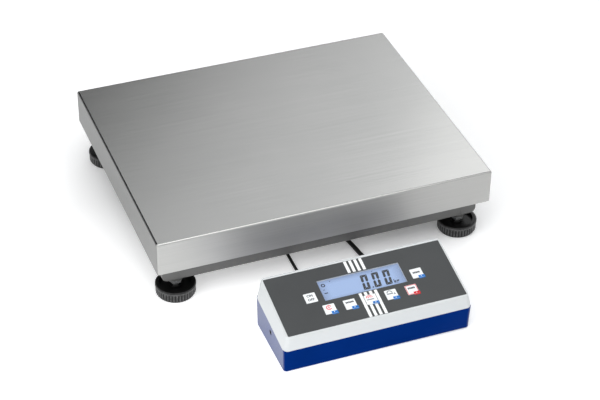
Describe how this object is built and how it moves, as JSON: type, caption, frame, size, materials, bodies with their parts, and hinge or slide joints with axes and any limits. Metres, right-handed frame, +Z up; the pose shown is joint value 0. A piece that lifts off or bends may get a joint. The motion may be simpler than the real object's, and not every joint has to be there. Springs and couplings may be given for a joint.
{
  "type": "platform scale",
  "caption": "Bench platform scale: stainless weighing plate on a painted tube frame with knurled levelling feet, single-point load cell, and a cabled desk display with keypad.",
  "frame": {"origin": "on the floor, below the middle of the box around the platform and the display, cords left out", "axes": "+Z up, +X to the right and +Y to the back as the operator stands at the display"},
  "size_m": [0.5, 0.5812, 0.113],
  "materials": {
    "stainless": "brushed stainless sheet",
    "frame_paint": "dark grey textured paint",
    "zinc": "zinc plated",
    "cell_aluminium": "machined, clear anodised",
    "black_rubber": "matt",
    "black_plastic": "moulded, satin",
    "white_shell": "fine texture",
    "blue_shell": "satin",
    "foil": "printed membrane",
    "window": "clear",
    "lcd": "lit liquid crystal panel",
    "backlight": "light guide",
    "board": "solder mask",
    "keys": "printed foil",
    "dome": "stamped",
    "battery": "sleeve",
    "brass": "turned",
    "vial": "clear with green fluid",
    "cable": "cable jacket",
    "nickel": "nickel plated"
  },
  "bodies": {
    "root": {"base_frame": "frame_paint", "foot_lock_nuts": "zinc", "lower_cell_spacer": "zinc", "load_cell": "cell_aluminium", "lower_cell_screws": "zinc", "cell_cable_boot": "black_rubber", "overload_stop_screws": "zinc", "overload_stop_nuts": "zinc", "level_housing": "black_plastic", "level_vial": "vial", "display_base": "blue_shell", "display_cover": "white_shell", "keypad_foil": "foil", "lcd_window": "window", "lcd_panel": "lcd", "lcd_backlight": "backlight", "main_board": "board", "board_screws": "zinc", "key_domes": "dome", "battery_pack": "battery", "housing_screws": "zinc", "display_feet": "black_rubber", "display_cable_gland": "black_plastic", "power_socket": "black_plastic", "bracket_bushes": "brass", "signal_cable": "cable", "signal_cable_coil": "cable", "signal_cable_tail": "cable", "power_lead": "cable", "power_lead_coil": "cable", "power_lead_tail": "cable", "power_adapter": "black_plastic", "adapter_pins": "nickel", "power_plug": "black_plastic"},
    "top_carrier": {"top_frame": "frame_paint", "upper_cell_spacer": "zinc", "upper_cell_screws": "zinc", "plate_buffers": "black_rubber"},
    "weighing_plate": {"weighing_plate": "stainless"},
    "battery_cover": {"battery_cover": "blue_shell"},
    "key_1": {"key_1": "keys"},
    "key_2": {"key_2": "keys"},
    "key_3": {"key_3": "keys"},
    "key_4": {"key_4": "keys"},
    "key_5": {"key_5": "keys"},
    "key_6": {"key_6": "keys"},
    "key_7": {"key_7": "keys"},
    "foot_sole_fl": {"foot_sole_fl": "black_rubber"},
    "foot_knob_fl": {"foot_knob_fl": "black_plastic", "foot_stud_fl": "zinc"},
    "foot_sole_fr": {"foot_sole_fr": "black_rubber"},
    "foot_knob_fr": {"foot_knob_fr": "black_plastic", "foot_stud_fr": "zinc"},
    "foot_sole_bl": {"foot_sole_bl": "black_rubber"},
    "foot_knob_bl": {"foot_knob_bl": "black_plastic", "foot_stud_bl": "zinc"},
    "foot_sole_br": {"foot_sole_br": "black_rubber"},
    "foot_knob_br": {"foot_knob_br": "black_plastic", "foot_stud_br": "zinc"}
  },
  "joints": [
    {"name": "load_deflection", "type": "slide", "parent": "root", "child": "top_carrier", "axis": [0, 0, 1], "range_m": [-0.0006, 0], "stiffness_N_per_m": 1000000, "deforming": ["load_cell"]},
    {"name": "plate_lift_off", "type": "slide", "parent": "top_carrier", "child": "weighing_plate", "axis": [0, 0, 1], "range_m": [0, 0.065]},
    {"name": "battery_cover_removal", "type": "slide", "parent": "root", "child": "battery_cover", "axis": [0, 0, -1], "range_m": [0, 0.012]},
    {"name": "key_1_press", "type": "slide", "parent": "root", "child": "key_1", "axis": [0, -0.2006, 0.9797], "range_m": [-0.0004, 0], "stiffness_N_per_m": 5000},
    {"name": "key_2_press", "type": "slide", "parent": "root", "child": "key_2", "axis": [0, -0.2006, 0.9797], "range_m": [-0.0004, 0], "stiffness_N_per_m": 5000},
    {"name": "key_3_press", "type": "slide", "parent": "root", "child": "key_3", "axis": [0, -0.2006, 0.9797], "range_m": [-0.0004, 0], "stiffness_N_per_m": 5000},
    {"name": "key_4_press", "type": "slide", "parent": "root", "child": "key_4", "axis": [0, -0.2006, 0.9797], "range_m": [-0.0004, 0], "stiffness_N_per_m": 5000},
    {"name": "key_5_press", "type": "slide", "parent": "root", "child": "key_5", "axis": [0, -0.2006, 0.9797], "range_m": [-0.0004, 0], "stiffness_N_per_m": 5000},
    {"name": "key_6_press", "type": "slide", "parent": "root", "child": "key_6", "axis": [0, -0.2006, 0.9797], "range_m": [-0.0004, 0], "stiffness_N_per_m": 5000},
    {"name": "key_7_press", "type": "slide", "parent": "root", "child": "key_7", "axis": [0, -0.2006, 0.9797], "range_m": [-0.0004, 0], "stiffness_N_per_m": 5000},
    {"name": "foot_fl_height", "type": "slide", "parent": "root", "child": "foot_sole_fl", "axis": [0, 0, 1], "range_m": [-0.012, 0.005]},
    {"name": "foot_fl_turn", "type": "hinge", "parent": "foot_sole_fl", "child": "foot_knob_fl", "pos_m": [-0.2155, -0.078, 0], "axis": [0, 0, 1], "range_deg": [-2878, 1198]},
    {"name": "foot_fr_height", "type": "slide", "parent": "root", "child": "foot_sole_fr", "axis": [0, 0, 1], "range_m": [-0.012, 0.005]},
    {"name": "foot_fr_turn", "type": "hinge", "parent": "foot_sole_fr", "child": "foot_knob_fr", "pos_m": [0.2155, -0.078, 0], "axis": [0, 0, 1], "range_deg": [-2878, 1198]},
    {"name": "foot_bl_height", "type": "slide", "parent": "root", "child": "foot_sole_bl", "axis": [0, 0, 1], "range_m": [-0.012, 0.005]},
    {"name": "foot_bl_turn", "type": "hinge", "parent": "foot_sole_bl", "child": "foot_knob_bl", "pos_m": [-0.2155, 0.2592, 0], "axis": [0, 0, 1], "range_deg": [-2878, 1198]},
    {"name": "foot_br_height", "type": "slide", "parent": "root", "child": "foot_sole_br", "axis": [0, 0, 1], "range_m": [-0.012, 0.005]},
    {"name": "foot_br_turn", "type": "hinge", "parent": "foot_sole_br", "child": "foot_knob_br", "pos_m": [0.2155, 0.2592, 0], "axis": [0, 0, 1], "range_deg": [-2878, 1198]}
  ],
  "couplings": [
    {"joint": "foot_fl_height", "follows": "foot_fl_turn", "m_per_rad": 0.00023873},
    {"joint": "foot_fr_height", "follows": "foot_fr_turn", "m_per_rad": 0.00023873},
    {"joint": "foot_bl_height", "follows": "foot_bl_turn", "m_per_rad": 0.00023873},
    {"joint": "foot_br_height", "follows": "foot_br_turn", "m_per_rad": 0.00023873}
  ]
}
